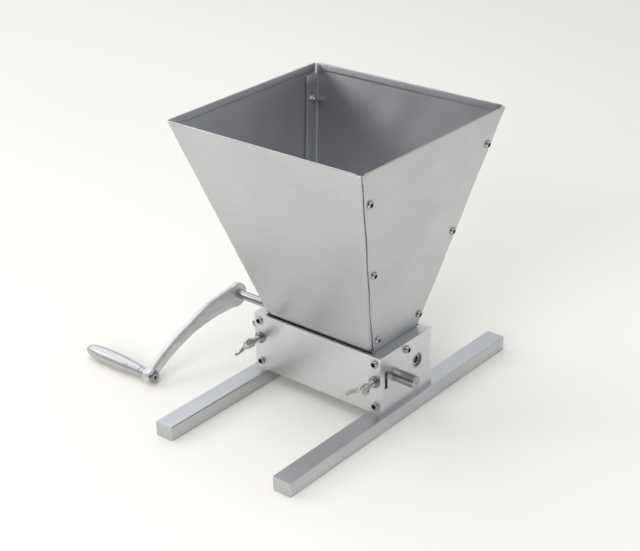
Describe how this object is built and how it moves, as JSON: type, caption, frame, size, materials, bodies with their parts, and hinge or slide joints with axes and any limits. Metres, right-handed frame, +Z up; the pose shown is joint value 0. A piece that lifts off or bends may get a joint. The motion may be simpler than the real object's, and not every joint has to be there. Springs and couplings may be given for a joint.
{
  "type": "grain mill",
  "caption": "Two-roller hand grain mill: sheet hopper on a plate body with base bars, curved side crank with turned grip, and wing screws that set the roller gap.",
  "frame": {"origin": "centre of the grain outlet between the base bars, in the plane that the bars stand on", "axes": "+X along the rollers, away from the crank; -Y the front, where the wing screws are; +Z up"},
  "size_m": [0.348, 0.32, 0.2744],
  "materials": {
    "stainless_sheet": "satin brushed",
    "satin_aluminium": "satin",
    "bar_aluminium": "satin extruded",
    "roller_steel": "machined, grooved",
    "shaft_steel": "ground",
    "bearing_steel": "turned",
    "plated_screw": "bright plated",
    "cast_alloy": "brushed cast",
    "grip_alloy": "polished, turned"
  },
  "bodies": {
    "frame": {"left_base_bar": "bar_aluminium", "right_base_bar": "bar_aluminium", "base_screws": "plated_screw", "left_end_plate": "satin_aluminium", "right_end_plate": "satin_aluminium", "front_plate": "satin_aluminium", "back_plate": "satin_aluminium", "front_plate_screws": "plated_screw", "back_plate_screws": "plated_screw", "left_drive_bush": "bearing_steel", "right_drive_bush": "bearing_steel", "adjuster_bosses": "plated_screw", "hopper_front_panel": "stainless_sheet", "hopper_back_panel": "stainless_sheet", "hopper_left_panel": "stainless_sheet", "hopper_right_panel": "stainless_sheet", "hopper_bolts": "plated_screw", "hopper_nuts": "plated_screw", "hopper_mount_screws": "plated_screw", "hopper_mount_nuts": "plated_screw"},
    "drive": {"drive_roller": "roller_steel", "drive_roller_washers": "bearing_steel", "crank_arm": "cast_alloy", "crank_set_screw": "plated_screw", "grip_bolt": "plated_screw", "grip_collar": "shaft_steel", "grip_ring": "shaft_steel"},
    "grip": {"crank_grip": "grip_alloy"},
    "carriage": {"left_sliding_block": "bearing_steel", "right_sliding_block": "bearing_steel"},
    "idler": {"idler_roller": "roller_steel", "idler_roller_washers": "bearing_steel"},
    "left_screw": {"left_wing_screw": "plated_screw"},
    "right_screw": {"right_wing_screw": "plated_screw"}
  },
  "joints": [
    {"name": "crank_turn", "type": "hinge", "parent": "frame", "child": "drive", "pos_m": [0, 0.01645, 0.047], "axis": [1, 0, 0], "continuous": true},
    {"name": "grip_spin", "type": "hinge", "parent": "drive", "child": "grip", "pos_m": [-0.2, -0.107, 0.008], "axis": [1, 0, 0], "continuous": true},
    {"name": "gap_slide", "type": "slide", "parent": "frame", "child": "carriage", "axis": [0, -1, 0], "range_m": [0, 0.0016]},
    {"name": "idler_turn", "type": "hinge", "parent": "carriage", "child": "idler", "pos_m": [0, -0.01645, 0.047], "axis": [1, 0, 0], "continuous": true},
    {"name": "left_screw_turn", "type": "hinge", "parent": "carriage", "child": "left_screw", "pos_m": [-0.0685, -0.045, 0.047], "axis": [0, -1, 0], "range_deg": [0, 576.1]},
    {"name": "right_screw_turn", "type": "hinge", "parent": "carriage", "child": "right_screw", "pos_m": [0.0685, -0.045, 0.047], "axis": [0, -1, 0], "range_deg": [0, 576.1]}
  ],
  "couplings": [
    {"joint": "idler_turn", "follows": "crank_turn", "ratio": -1},
    {"joint": "left_screw_turn", "follows": "gap_slide", "rad_per_m": 6283.2},
    {"joint": "right_screw_turn", "follows": "gap_slide", "rad_per_m": 6283.2}
  ]
}
